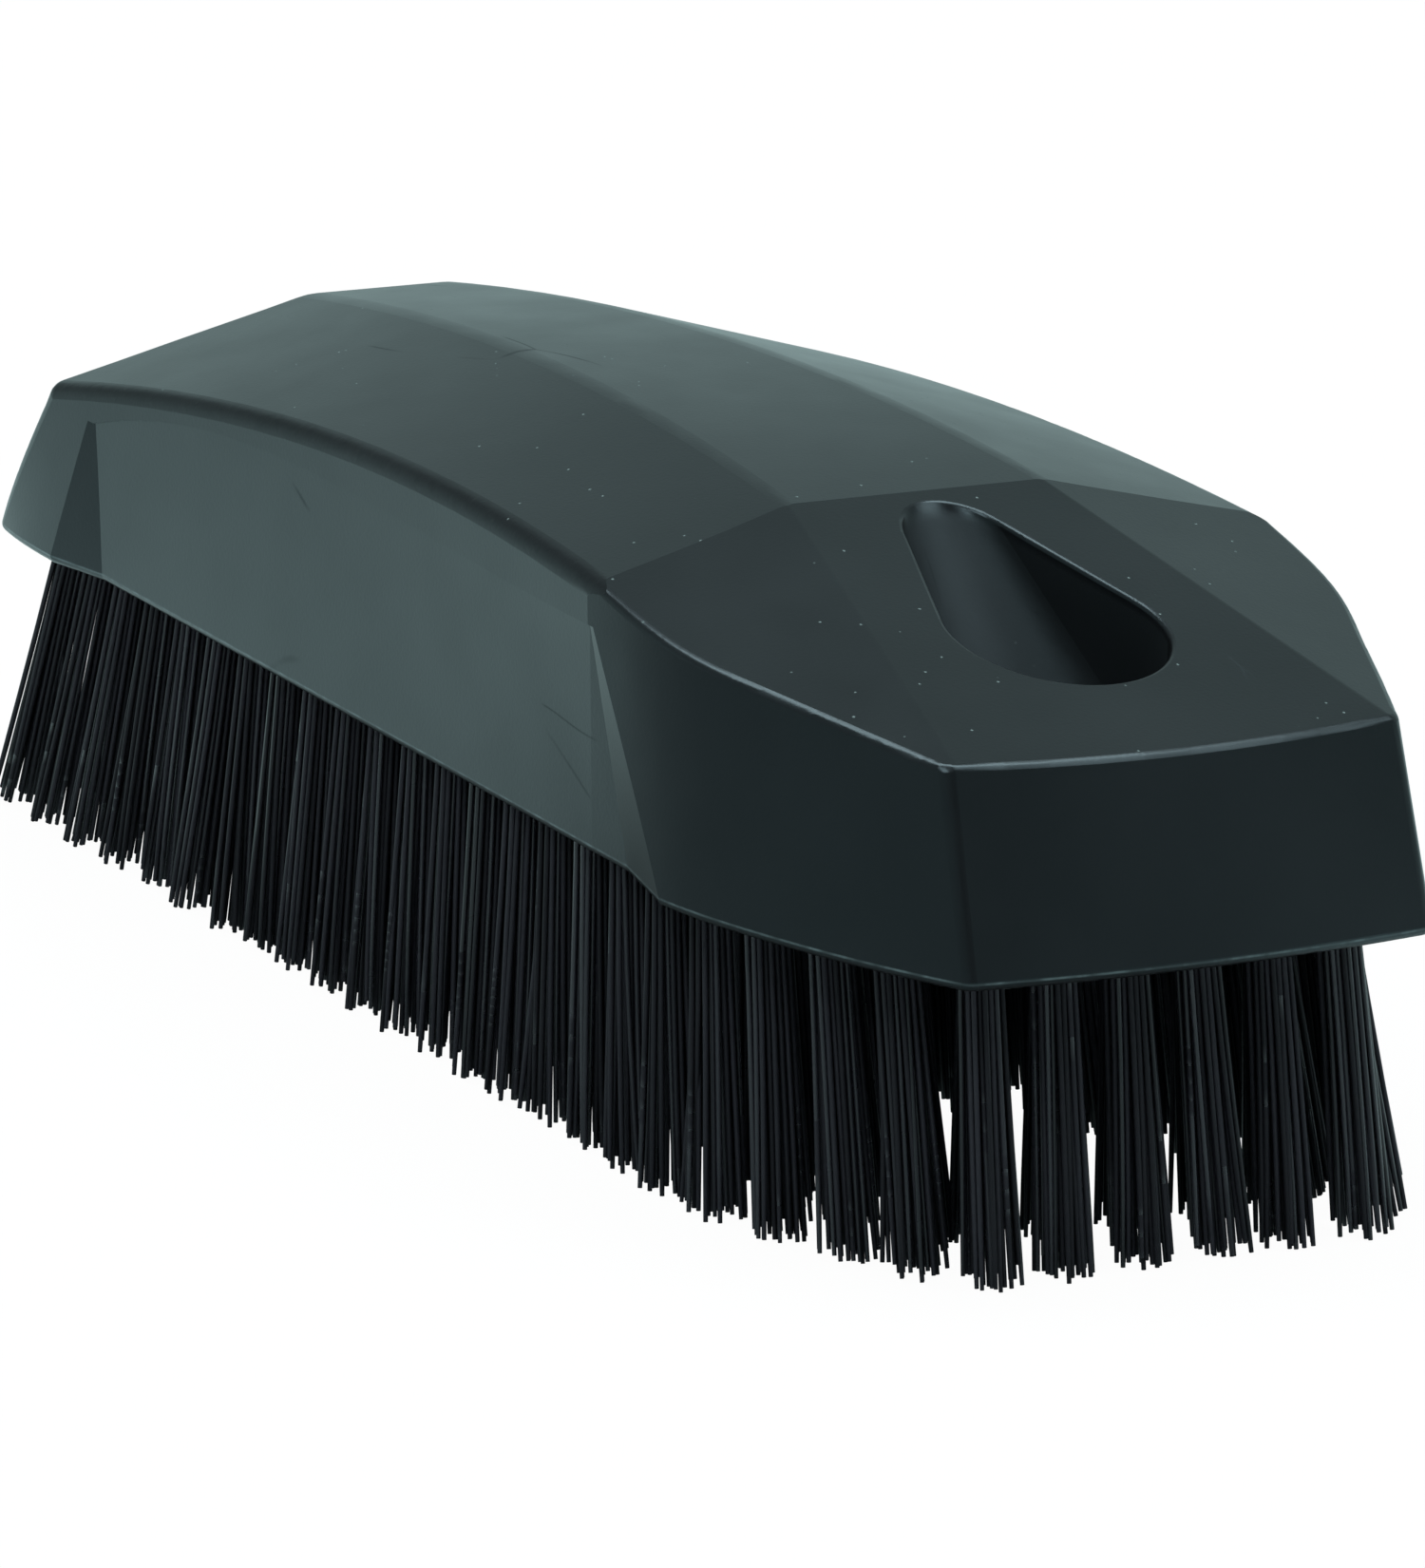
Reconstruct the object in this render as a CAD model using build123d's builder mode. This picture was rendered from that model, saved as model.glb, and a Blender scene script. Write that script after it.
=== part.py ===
"""Hand wheel brush: a moulded block set with tufts of stiff bristle, each held by a flat metal staple.

Units are millimetres. +X points at the nose with the hanging hole, +Y to the right, +Z up.
The brush stands on its bristle tips: z = 0 is the floor, x = 0 and y = 0 the middle of the whole brush.
Lengths along the block are counted from the foot of its tail, and heights from its underside.
A "back" is a distance back from the front of the block, an "inset" one in from its side, and a "drop"
one down from its top.
"""
from build123d import *
import os

os.makedirs("parts", exist_ok=True)

# ---- Driving dimensions ---------------------------------------------------------------------------

BLOCK_LENGTH = 118.4
BLOCK_WIDTH = 48.4
BLOCK_HEIGHT = 21.0
BRISTLE_LENGTH = 19.0

# Side walls of the long part at the underside, drawn in slightly at the middle
TAIL_INSET = 1.8
SHOULDER_AT = 10.0
SHOULDER_INSET = 0.3
BREAK_BACK = 34.4
FOOT_WAIST = 0.7
TAIL_LEAN = 0.585
FRONT_LEAN = 0.364

# Roof of the long part: the ridge is its inner crease, the rim its outer edge
RIDGE_START = 10.3
RIDGE_START_DROP = 4.3
RIDGE_START_HALF = 5.3
RIDGE_END_BACK = 36.9
RIDGE_END_DROP = 1.0
RIDGE_END_HALF = 8.9
RIDGE_RISE = 2.36
RIDGE_RADIUS = 5.0
RIM_START = 6.5
RIM_START_DROP = 9.9
RIM_START_INSET = 1.6
RIM_END_DROP = 3.95
RIM_END_INSET = 0.8
RIM_RISE = 2.67
RIM_WAIST = 1.1
RIM_RADIUS = 1.4
TAIL_EDGE_RADIUS = 1.5
SECTION_STEP = 13
SECTION_PAST = 6

# Nose walls: back and inset at the underside, each with its lean back and in per millimetre of height
NOSE_OUTLINE = (
    ((58.4, -0.70), (0.000, 0.065)),
    ((46.4, -0.55), (0.000, 0.065)),
    ((34.4, -0.15), (0.000, 0.065)),
    ((23.0, 0.05), (0.100, 0.115)),
    ((15.2, 1.95), (0.200, 0.140)),
    ((7.9, 4.75), (0.300, 0.105)),
    ((1.05, 8.35), (FRONT_LEAN, 0.028)),
)
NOSE_WALL_SPARE = 5.0
NOSE_REAR_PAST = 20.0
NOSE_REAR_SPARE = 5.8
NOSE_TOP_BACK = 5.6
NOSE_TOP_INSET = 9.3
NOSE_TOP_DROP = 8.5
NOSE_CORNER_RADIUS = 1.1
NOSE_RIDGE_RADIUS = 1.5
NOSE_RIM_RADIUS = 0.6
FOOT_RADIUS = 0.5

# Finger grips: shallow recesses in both long sides, running out at their arched top
GRIP_FOOT_INSET = 1.55
GRIP_TAIL_FOOT = 15.8
GRIP_TAIL_OUTER = 10.0
GRIP_TAIL_OUTER_INSET = 0.35
GRIP_NOSE_FOOT_BACK = 30.2
GRIP_NOSE_OUTER_BACK = 23.0
GRIP_NOSE_OUTER_INSET = -0.05
GRIP_TAIL_TOP = 13.8
GRIP_TAIL_TOP_DROP = 10.8
GRIP_NOSE_TOP_BACK = 34.8
GRIP_NOSE_TOP_DROP = 6.6
GRIP_ARCH_RISES = ((0.0, 0.0), (0.16, 1.9), (0.49, 2.0), (0.82, 0.5), (1.0, 0.0))
GRIP_STEP = 0.15
GRIP_PAST = 14.0
GRIP_REACH = 6.0

# Hanging hole through the nose: round below, drawn out above to a narrow end that slopes up and back
HANG_FRONT_BACK = 12.8
HANG_WIDE_RADIUS = 6.9
HANG_NARROW_REACH = 13.8
HANG_NARROW_RADIUS = 2.8
HANG_MOUTH_DROP = 0.5
HANG_FLOOR = 0.5
HANG_FOOT_INSET = 0.2
HANG_TAPER = 0.35
HANG_DRAFT = 1.7
HANG_EDGE_RADIUS = 0.3

# Tufts and their blind holes
FULL_ROWS = 18
COLUMNS = 5
FIRST_ROW_AT = 7.3
LAST_FULL_ROW_BACK = 33.665
SIDE_COLUMN_INSET = 3.7
FLANK_COLUMNS = (4, 3, 2, 2)
FLANK_DROP = 5.4
FLANK_LENGTH = 17.6
FLANK_BOW = 1.8
RING_BACK = 11.4
RING_INSET = 9.2
SECOND_ROW_BACK = 10.4
FRONT_ROW_BACK = 6.1
FRONT_COLUMNS = 3
FRONT_INSET = 9.5
HOLE_ROOF = 2.1
HOLE_GAP = 0.05
HOLE_PAST = 2.5
ROOT_RADIUS = 1.3
TIP_RADIUS = 1.6
TIP_RELIEF = 0.2
TUFT_SPARE = 4.0

# How far the tips stand out from the mouths of their holes
FAN_EVEN = 4.0
FAN_END = 5.0
FAN_LIMIT = 4.5
SECOND_FAN = 0.6
FRONT_FAN = 2.5
SIDE_FAN = 0.06
SET = 0.9

# Staples: flat metal anchors that the folded tufts hang on, each biting into both sides of its hole
STAPLE_THICKNESS = 0.35
STAPLE_BITE = 0.35
STAPLE_HEIGHT = 1.8
STAPLE_SEAT = 0.9
STAPLE_GAP = 0.05

# ---- Sizes that follow from them ------------------------------------------------------------------

HALF_WIDTH = BLOCK_WIDTH / 2
BREAK_AT = BLOCK_LENGTH - BREAK_BACK
RIDGE_END = BLOCK_LENGTH - RIDGE_END_BACK
NOSE_TOP_AT = BLOCK_LENGTH - NOSE_TOP_BACK
HANG_AT = BLOCK_LENGTH - HANG_FRONT_BACK - HANG_WIDE_RADIUS
RIM_START_HEIGHT = BLOCK_HEIGHT - RIM_START_DROP
RIDGE_END_HEIGHT = BLOCK_HEIGHT - RIDGE_END_DROP
RIM_END_HALF = HALF_WIDTH - RIM_END_INSET
NOSE_TOP_HEIGHT = BLOCK_HEIGHT - NOSE_TOP_DROP
NOSE_WALL_HEIGHT = BLOCK_HEIGHT + NOSE_WALL_SPARE
HOLE_DEPTH = RIM_START_HEIGHT - HOLE_ROOF
STAPLE_WIDTH = 2 * (ROOT_RADIUS + STAPLE_BITE)


def fan(length):
    """How far forward the tips of a row stand from its holes: outwards towards both ends."""
    share = 2 * length / BLOCK_LENGTH - 1
    return min(FAN_EVEN * share + FAN_END * share**3, FAN_LIMIT)


# Middle of the whole brush, from the rearmost bristle tip to the front of the block
REAR_TIP_AT = FIRST_ROW_AT + fan(FIRST_ROW_AT) - TIP_RADIUS
MIDDLE = (REAR_TIP_AT + BLOCK_LENGTH) / 2


def at(length):
    """X of a length counted from the foot of the tail."""
    return length - MIDDLE


def up(height):
    """Z of a height counted from the underside of the block."""
    return height + BRISTLE_LENGTH


def spot(length, half, height):
    return Vector(at(length), half, up(height))


def bowed(where, start, end, first, last, rise):
    """Value on a parabola from first at start to last at end, with its rise at mid span."""
    share = (where - start) / (end - start)
    return first + (last - first) * share + 4 * rise * share * (1 - share)


def ridge_height(length):
    first = BLOCK_HEIGHT - RIDGE_START_DROP
    return bowed(length, RIDGE_START, RIDGE_END, first, RIDGE_END_HEIGHT, RIDGE_RISE)


def ridge_half(length):
    return bowed(length, RIDGE_START, RIDGE_END, RIDGE_START_HALF, RIDGE_END_HALF, 0)


def rim_height(length):
    last = BLOCK_HEIGHT - RIM_END_DROP
    return bowed(length, RIM_START, BREAK_AT, RIM_START_HEIGHT, last, RIM_RISE)


def rim_half(length):
    return bowed(length, RIM_START, BREAK_AT, HALF_WIDTH - RIM_START_INSET, RIM_END_HALF, -RIM_WAIST)


def foot_half(length):
    """Half width of the long part at the underside, tapered in over the tail shoulder."""
    shoulder = HALF_WIDTH - SHOULDER_INSET
    if length < SHOULDER_AT:
        short = (SHOULDER_AT - length) / SHOULDER_AT
        return shoulder - (TAIL_INSET - SHOULDER_INSET) * short**2
    return bowed(length, SHOULDER_AT, BREAK_AT, shoulder, HALF_WIDTH, -FOOT_WAIST)


def wall_half(length, height):
    """Half width of the long part at a height on its side wall."""
    share = height / rim_height(length)
    return foot_half(length) + (rim_half(length) - foot_half(length)) * share


def plane_through(first, second, third, facing):
    """Plane through three spots, with its normal turned the way it should face."""
    normal = (second - first).cross(third - first)
    if normal.dot(facing) < 0:
        normal = normal * -1
    return Plane(origin=first, x_dir=second - first, z_dir=normal)


# ---- Block: the long part and the nose part, each rounded, and later what they share --------------

with BuildPart() as long_part:
    for length in range(-SECTION_PAST, round(BLOCK_LENGTH) + SECTION_STEP, SECTION_STEP):
        with BuildSketch(Plane.YZ.offset(at(length))) as section:
            with BuildLine():
                right = (
                    (foot_half(length), up(0)),
                    (rim_half(length), up(rim_height(length))),
                    (ridge_half(length), up(ridge_height(length))),
                )
                left = [(-half, height) for half, height in reversed(right)]
                Polyline(*right, *left, close=True)
            make_face()
            between = (rim_half(length) + ridge_half(length)) / 2
            ridges = section.vertices().filter_by(
                lambda corner: corner.Y > up(1) and abs(corner.X) < between
            )
            fillet(ridges, radius=RIDGE_RADIUS)
            rims = section.vertices().filter_by(
                lambda corner: corner.Y > up(1) and abs(corner.X) > between
            )
            fillet(rims, radius=RIM_RADIUS)
    loft()
    tail_face = Plane(origin=(at(0), 0, up(0)), x_dir=(0, 1, 0), z_dir=(-1, 0, TAIL_LEAN))
    split(bisect_by=tail_face, keep=Keep.BOTTOM)
    tail_edges = long_part.faces().sort_by(Axis.X)[0].edges()
    fillet(tail_edges.filter_by(lambda edge: edge.center().Z > up(0.5)), radius=TAIL_EDGE_RADIUS)

with BuildPart() as nose_part:
    for height in (0, NOSE_WALL_HEIGHT):
        with BuildSketch(Plane.XY.offset(up(height))):
            with BuildLine():
                right = []
                for (back, inset), (lean_back, lean_in) in NOSE_OUTLINE:
                    length = BLOCK_LENGTH - back - lean_back * height
                    right.append((at(length), HALF_WIDTH - inset - lean_in * height))
                left = [(x, -half) for x, half in right]
                Spline(*right)
                Spline(*left)
                Polyline(
                    right[0],
                    (at(-NOSE_REAR_PAST), HALF_WIDTH + NOSE_REAR_SPARE),
                    (at(-NOSE_REAR_PAST), -HALF_WIDTH - NOSE_REAR_SPARE),
                    left[0],
                )
                ThreePointArc(right[-1], (at(BLOCK_LENGTH - FRONT_LEAN * height), 0), left[-1])
            make_face()
    loft(ruled=True)
    corners = nose_part.edges().filter_by(
        lambda edge: abs((edge @ 0).Z - (edge @ 1).Z) > NOSE_WALL_HEIGHT / 2
        and edge.center().X > at(HANG_AT)
    )
    fillet(corners, radius=NOSE_CORNER_RADIUS)
    roof = plane_through(
        spot(RIDGE_END, RIDGE_END_HALF, RIDGE_END_HEIGHT),
        spot(RIDGE_END, -RIDGE_END_HALF, RIDGE_END_HEIGHT),
        spot(NOSE_TOP_AT, 0, NOSE_TOP_HEIGHT),
        Vector(0, 0, 1),
    )
    split(bisect_by=roof, keep=Keep.BOTTOM)
    for side in (1, -1):
        slope = plane_through(
            spot(RIDGE_END, side * RIDGE_END_HALF, RIDGE_END_HEIGHT),
            spot(BREAK_AT, side * RIM_END_HALF, BLOCK_HEIGHT - RIM_END_DROP),
            spot(NOSE_TOP_AT, side * (HALF_WIDTH - NOSE_TOP_INSET), NOSE_TOP_HEIGHT),
            Vector(0, 0, 1),
        )
        split(bisect_by=slope, keep=Keep.BOTTOM)
    nose_ridges = nose_part.edges().filter_by(GeomType.LINE).filter_by(
        lambda edge: edge.center().Z > up(NOSE_TOP_HEIGHT)
        and abs((edge @ 0).X - (edge @ 1).X) > RIDGE_END_BACK / 2
    )
    fillet(nose_ridges, radius=NOSE_RIDGE_RADIUS)
    nose_rims = nose_part.edges().filter_by(
        lambda edge: edge.geom_type != GeomType.LINE
        and edge.center().Z > up(NOSE_TOP_HEIGHT - 1)
        and edge.center().X > at(HANG_AT)
        and abs((edge @ 0).Z - (edge @ 1).Z) < NOSE_WALL_SPARE
    )
    fillet(nose_rims, radius=NOSE_RIM_RADIUS)

# ---- Finger grip, as the solid cut out of the right side ------------------------------------------

grip_tail_height = BLOCK_HEIGHT - GRIP_TAIL_TOP_DROP
grip_nose_top = BLOCK_LENGTH - GRIP_NOSE_TOP_BACK
grip_nose_height = BLOCK_HEIGHT - GRIP_NOSE_TOP_DROP
grip_foot_half = HALF_WIDTH - GRIP_FOOT_INSET
grip_outside = HALF_WIDTH + GRIP_REACH
grip_arch = [
    (
        GRIP_TAIL_TOP + (grip_nose_top - GRIP_TAIL_TOP) * share,
        grip_tail_height + (grip_nose_height - grip_tail_height) * share + rise,
    )
    for share, rise in GRIP_ARCH_RISES
]


def grip_half(length, height, top):
    """Half width at the back of a finger grip, which meets the side wall at its top."""
    top_half = wall_half(length, top) - GRIP_STEP
    return grip_foot_half + (top_half - grip_foot_half) * height / top


with BuildPart() as grip:
    for height in (-1, NOSE_WALL_HEIGHT):
        with BuildSketch(Plane.XY.offset(up(height))):
            with BuildLine():
                spots = (grip_arch[0], grip_arch[len(grip_arch) // 2], grip_arch[-1])
                back = [(at(length), grip_half(length, height, top)) for length, top in spots]
                rear = back[0][0] - GRIP_PAST
                front = back[-1][0] + GRIP_PAST
                ThreePointArc(*back)
                Polyline(back[-1], (front, back[-1][1]), (front, grip_outside))
                Polyline(back[0], (rear, back[0][1]), (rear, grip_outside), (front, grip_outside))
            make_face()
    loft(ruled=True)
    with BuildSketch(Plane.XZ):
        with BuildLine():
            arch = [(at(length), up(height)) for length, height in grip_arch]
            rear = arch[0][0] - GRIP_PAST
            front = arch[-1][0] + GRIP_PAST
            Spline(*arch)
            Polyline(arch[0], (rear, arch[0][1]), (rear, up(-2)), (front, up(-2)))
            Polyline((front, up(-2)), (front, arch[-1][1]), arch[-1])
        make_face()
    extrude(amount=-2 * grip_outside, mode=Mode.INTERSECT)
    grip_rear = plane_through(
        spot(GRIP_TAIL_TOP, grip_half(*grip_arch[0], grip_tail_height), grip_tail_height),
        spot(GRIP_TAIL_FOOT, grip_foot_half, 0),
        spot(GRIP_TAIL_OUTER, HALF_WIDTH - GRIP_TAIL_OUTER_INSET, 0),
        Vector(1, 0, 0),
    )
    split(bisect_by=grip_rear, keep=Keep.TOP)
    grip_front = plane_through(
        spot(grip_nose_top, grip_half(*grip_arch[-1], grip_nose_height), grip_nose_height),
        spot(BLOCK_LENGTH - GRIP_NOSE_FOOT_BACK, grip_foot_half, 0),
        spot(BLOCK_LENGTH - GRIP_NOSE_OUTER_BACK, HALF_WIDTH - GRIP_NOSE_OUTER_INSET, 0),
        Vector(1, 0, 0),
    )
    split(bisect_by=grip_front, keep=Keep.BOTTOM)

# ---- Hanging hole, as the solid cut out of the nose -----------------------------------------------

with BuildPart() as hang:
    for height, reach, radius in (
        (HOLE_DEPTH + HANG_FLOOR, HANG_FOOT_INSET / HANG_TAPER, HANG_WIDE_RADIUS - HANG_FOOT_INSET),
        (BLOCK_HEIGHT - HANG_MOUTH_DROP, HANG_NARROW_REACH, HANG_NARROW_RADIUS),
    ):
        with BuildSketch(Plane.XY.offset(up(height))):
            with Locations((at(HANG_AT), 0)):
                Circle(HANG_WIDE_RADIUS)
            with Locations((at(HANG_AT - reach), 0)):
                Circle(radius)
            make_hull()
    loft(ruled=True)
    for height, draft in ((-1, HANG_DRAFT), (BLOCK_HEIGHT - HANG_MOUTH_DROP, 0)):
        with BuildSketch(Plane.XY.offset(up(height))):
            with Locations((at(HANG_AT - draft / 2), 0)):
                Circle(HANG_WIDE_RADIUS - draft / 2)
    loft(ruled=True)

# ---- Where the tufts stand: rows of (length, half) mouths -----------------------------------------


def row_across(length, outer, count, pitch):
    """Mouths of a row, stepping inwards from its outermost pair."""
    halves = [outer - pitch * column for column in range(count)]
    return [(length, side * half) for side in (-1, 1) for half in halves]


side_column = HALF_WIDTH - SIDE_COLUMN_INSET
column_pitch = side_column / (COLUMNS - 0.5)
last_full_row = BLOCK_LENGTH - LAST_FULL_ROW_BACK
row_pitch = (last_full_row - FIRST_ROW_AT) / (FULL_ROWS - 1)
front_pitch = (HALF_WIDTH - FRONT_INSET) / FRONT_COLUMNS

rows = [
    row_across(FIRST_ROW_AT + row_pitch * index, side_column, COLUMNS, column_pitch)
    for index in range(FULL_ROWS)
]
for index, count in enumerate(FLANK_COLUMNS):
    length = last_full_row + row_pitch * (index + 1)
    drop = FLANK_DROP * (row_pitch * index / FLANK_LENGTH) ** FLANK_BOW
    rows.append(row_across(length, side_column - drop, count, column_pitch))
second_row = BLOCK_LENGTH - SECOND_ROW_BACK
rows.append(
    [(second_row, front_pitch * column) for column in range(1 - FRONT_COLUMNS, FRONT_COLUMNS)]
    + row_across(BLOCK_LENGTH - RING_BACK, HALF_WIDTH - RING_INSET, 1, 0)
)
front_row = BLOCK_LENGTH - FRONT_ROW_BACK
rows.append([(front_row, front_pitch * (column + 0.5)) for column in range(-FRONT_COLUMNS, FRONT_COLUMNS)])


def lean(length, half):
    """How far the tip of a tuft stands from its mouth, along and across the brush."""
    along = {second_row: SECOND_FAN, front_row: FRONT_FAN}.get(length, fan(length))
    return along, SET + SIDE_FAN * half


def down_tuft(mouth, height):
    """Plane across a tuft where its axis crosses a height, facing from its root to its tip."""
    along, across = lean(*mouth)
    share = -height / BRISTLE_LENGTH
    centre = (at(mouth[0] + along * share), mouth[1] + across * share, up(height))
    return Plane(origin=centre, z_dir=(along, across, -BRISTLE_LENGTH))


def slanted(mouths, height, length, gap):
    """Round solids along the axes of a row of tufts, opening evenly on their way down."""
    widening = (TIP_RADIUS - ROOT_RADIUS) * length / (HOLE_DEPTH + BRISTLE_LENGTH)
    with BuildPart(mode=Mode.PRIVATE) as filled:
        with Locations(*[down_tuft(mouth, height) for mouth in mouths]):
            Cone(
                ROOT_RADIUS + gap,
                ROOT_RADIUS + gap + widening,
                length,
                align=(Align.CENTER, Align.CENTER, Align.MIN),
            )
    return filled.part


def trimmed_tufts(mouths, floor):
    """Tufts from their roots down to tips trimmed level at a height above the floor."""
    with BuildPart(mode=Mode.PRIVATE) as trimmed:
        add(slanted(mouths, HOLE_DEPTH, HOLE_DEPTH + BRISTLE_LENGTH + TUFT_SPARE, 0))
        split(bisect_by=Plane.XY.offset(floor), keep=Keep.TOP)
    return trimmed.part


def staples_of(mouths, gap):
    """Flat staples across the roots of a row of tufts, larger all round by a gap."""
    height = HOLE_DEPTH - STAPLE_SEAT - STAPLE_HEIGHT / 2
    with BuildPart(mode=Mode.PRIVATE) as plates:
        with Locations(*[down_tuft(mouth, height).origin for mouth in mouths]):
            Box(STAPLE_THICKNESS + 2 * gap, STAPLE_WIDTH + 2 * gap, STAPLE_HEIGHT + 2 * gap)
    return plates.part


# ---- Block with its recesses, hanging hole and tuft holes -----------------------------------------

every_mouth = [mouth for mouths in rows for mouth in mouths]
hang_reach = HANG_WIDE_RADIUS + FOOT_RADIUS

with BuildPart() as block:
    add(long_part.part)
    add(nose_part.part, mode=Mode.INTERSECT)
    add(grip.part, mode=Mode.SUBTRACT)
    mirror(grip.part, about=Plane.XZ, mode=Mode.SUBTRACT)
    add(hang.part, mode=Mode.SUBTRACT)
    hang_edges = block.edges().filter_by(
        lambda edge: abs(roof.to_local_coords(edge @ 0.5).Z) < 0.02
        and abs((edge @ 0.5).Y) < hang_reach
        and at(RIDGE_END + FOOT_RADIUS) < (edge @ 0.5).X < at(HANG_AT) + hang_reach
    )
    fillet(hang_edges, radius=HANG_EDGE_RADIUS)
    foot_edges = block.edges().filter_by(
        lambda edge: abs(edge.center().Z - up(0)) < 0.01
        and (edge.center() - Vector(at(HANG_AT), 0, up(0))).length > hang_reach
    )
    fillet(foot_edges, radius=FOOT_RADIUS)
    add(slanted(every_mouth, HOLE_DEPTH + HOLE_GAP, HOLE_DEPTH + HOLE_PAST, HOLE_GAP), mode=Mode.SUBTRACT)
    add(staples_of(every_mouth, STAPLE_GAP), mode=Mode.SUBTRACT)

block.part.label = "brush_block"
export_step(block.part, "parts/brush_block.step")

# ---- Rows of tufts, each tuft folded round its staple, and the rows of staples --------------------

for number, mouths in enumerate(rows, start=1):
    outermost = max(abs(half) for _, half in mouths)
    edge = [mouth for mouth in mouths if number in (1, len(rows)) or abs(mouth[1]) == outermost]
    inner = [mouth for mouth in mouths if mouth not in edge]
    with BuildPart() as bristle_row:
        add(trimmed_tufts(edge, 0))
        if inner:
            add(trimmed_tufts(inner, TIP_RELIEF))
        add(staples_of(mouths, STAPLE_GAP), mode=Mode.SUBTRACT)
    bristle_row.part.label = f"bristle_row_{number:02d}"
    export_step(bristle_row.part, f"parts/bristle_row_{number:02d}.step")

    with BuildPart() as staple_row:
        add(staples_of(mouths, 0))
    staple_row.part.label = f"staple_row_{number:02d}"
    export_step(staple_row.part, f"parts/staple_row_{number:02d}.step")
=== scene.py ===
"""Hand wheel brush: satin black polypropylene block, black polyester tufts folded over stainless staples."""
import math
import random
from collections import namedtuple

import bpy
import bmesh
from mathutils import Matrix, Vector


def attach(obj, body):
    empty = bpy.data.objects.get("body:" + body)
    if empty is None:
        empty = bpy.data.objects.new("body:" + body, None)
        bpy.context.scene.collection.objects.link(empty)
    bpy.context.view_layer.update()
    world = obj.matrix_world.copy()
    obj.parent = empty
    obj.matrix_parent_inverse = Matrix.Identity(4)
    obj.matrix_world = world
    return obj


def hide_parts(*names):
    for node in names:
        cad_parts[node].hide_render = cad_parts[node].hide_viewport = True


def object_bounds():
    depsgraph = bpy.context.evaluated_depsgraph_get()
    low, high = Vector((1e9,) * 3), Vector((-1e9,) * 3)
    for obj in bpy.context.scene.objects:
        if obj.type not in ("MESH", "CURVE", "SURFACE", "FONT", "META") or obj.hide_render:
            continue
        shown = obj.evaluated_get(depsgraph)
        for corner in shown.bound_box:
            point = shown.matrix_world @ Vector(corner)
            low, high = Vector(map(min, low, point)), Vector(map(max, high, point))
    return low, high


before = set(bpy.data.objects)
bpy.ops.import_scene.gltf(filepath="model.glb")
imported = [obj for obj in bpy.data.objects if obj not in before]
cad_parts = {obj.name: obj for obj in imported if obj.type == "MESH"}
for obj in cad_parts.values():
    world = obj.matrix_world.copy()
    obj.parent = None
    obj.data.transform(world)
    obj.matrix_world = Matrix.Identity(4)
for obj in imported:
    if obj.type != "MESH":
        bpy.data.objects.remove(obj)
cad_box = [list(corner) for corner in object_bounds()]

MM = 0.001
BLOCK_UNDERSIDE = 19.0 * MM

# ---- Tufts ------------------------------------------------------------------------------------------

# a packed tuft: its tip face is level, and its root face leans a little and lies above the staple's window
WELD_REACH = 0.001 * MM
TIP_FACE_DEPTH = 0.05 * MM
ROOT_FACE_DEPTH = 1.05 * MM
WINDOW_TOP = 27.4 * MM

# filaments stand in the hole like straws in a box, pressed together, with room for the staple in the middle
FILAMENT_RADIUS = 0.18 * MM
FILAMENT_PITCH = 0.345 * MM
STRAW_NESTING = 0.87
HOLE_CLEARANCE = 0.05 * MM
WALL_SQUEEZE = 0.9
STAPLE_SIDE_GAP = 0.38 * MM

# heights of a leg's points: as shares, from its tip at 0 to the mouth of the hole at 1, then above the mouth
LEG_SHARES = (0.0, 0.2, 0.42, 0.66, 0.97)
LEG_IN_HOLE = (4.2 * MM, 7.9 * MM)
# inside the hole the legs draw in towards the fold, whose crown is higher for the outer filaments
LEG_DRAW_X = 0.97
LEG_DRAW_Y = 0.93
CROWN_DRAW_Y = 0.9
CROWN_CENTRE = 8.15 * MM
CROWN_HEIGHT = 8.22 * MM
CROWN_RISE = 0.45

# how much tips differ, which fades out up to the hole: the twist of a tuft in radians and its sway in
# millimetres, and how far a leg spreads from the middle, as a factor, and is knocked aside, in millimetres
TUFT_TWIST = 0.35
TUFT_SWAY = 0.15
LEG_SPREAD = 1.18
LEG_SPREAD_SCATTER = 0.05
LEG_JOG = 0.14
FADE_POWER = 1.35

# worn tips end at uneven heights and are a little thinner, and a few filaments stray
TIP_LIFT = 0.06 * MM
TIP_WEAR = 0.45 * MM
TIP_THINNING = 0.8
STRAY_SHARE = 0.02
STRAY_TIMES = (3, 6)
# behind this place strays lean forwards
STRAY_FORWARD = -50 * MM

# how far back and how far out the middle of a filament may be
REARMOST = cad_box[0][0] + FILAMENT_RADIUS
SIDEMOST = min(-cad_box[0][1], cad_box[1][1]) - FILAMENT_RADIUS

Tuft = namedtuple("Tuft", "tip tip_radius root root_radius twist sway")


def tuft_islands(node):
    """Separate tufts of a packed row, each as the list of its corner points."""
    shell = bmesh.new()
    shell.from_mesh(node.data)
    bmesh.ops.remove_doubles(shell, verts=shell.verts, dist=WELD_REACH)
    left = set(shell.verts)
    tufts = []
    for first in shell.verts:
        if first not in left:
            continue
        left.remove(first)
        waiting = [first]
        found = []
        while waiting:
            corner = waiting.pop()
            found.append(corner.co.copy())
            for edge in corner.link_edges:
                other = edge.other_vert(corner)
                if other in left:
                    left.remove(other)
                    waiting.append(other)
        tufts.append(found)
    shell.free()
    return tufts


def face_middle(corners):
    """Centre and radius of an end face from its corners."""
    centre = sum(corners, Vector()) / len(corners)
    return centre, max((corner - centre).length for corner in corners)


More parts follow.
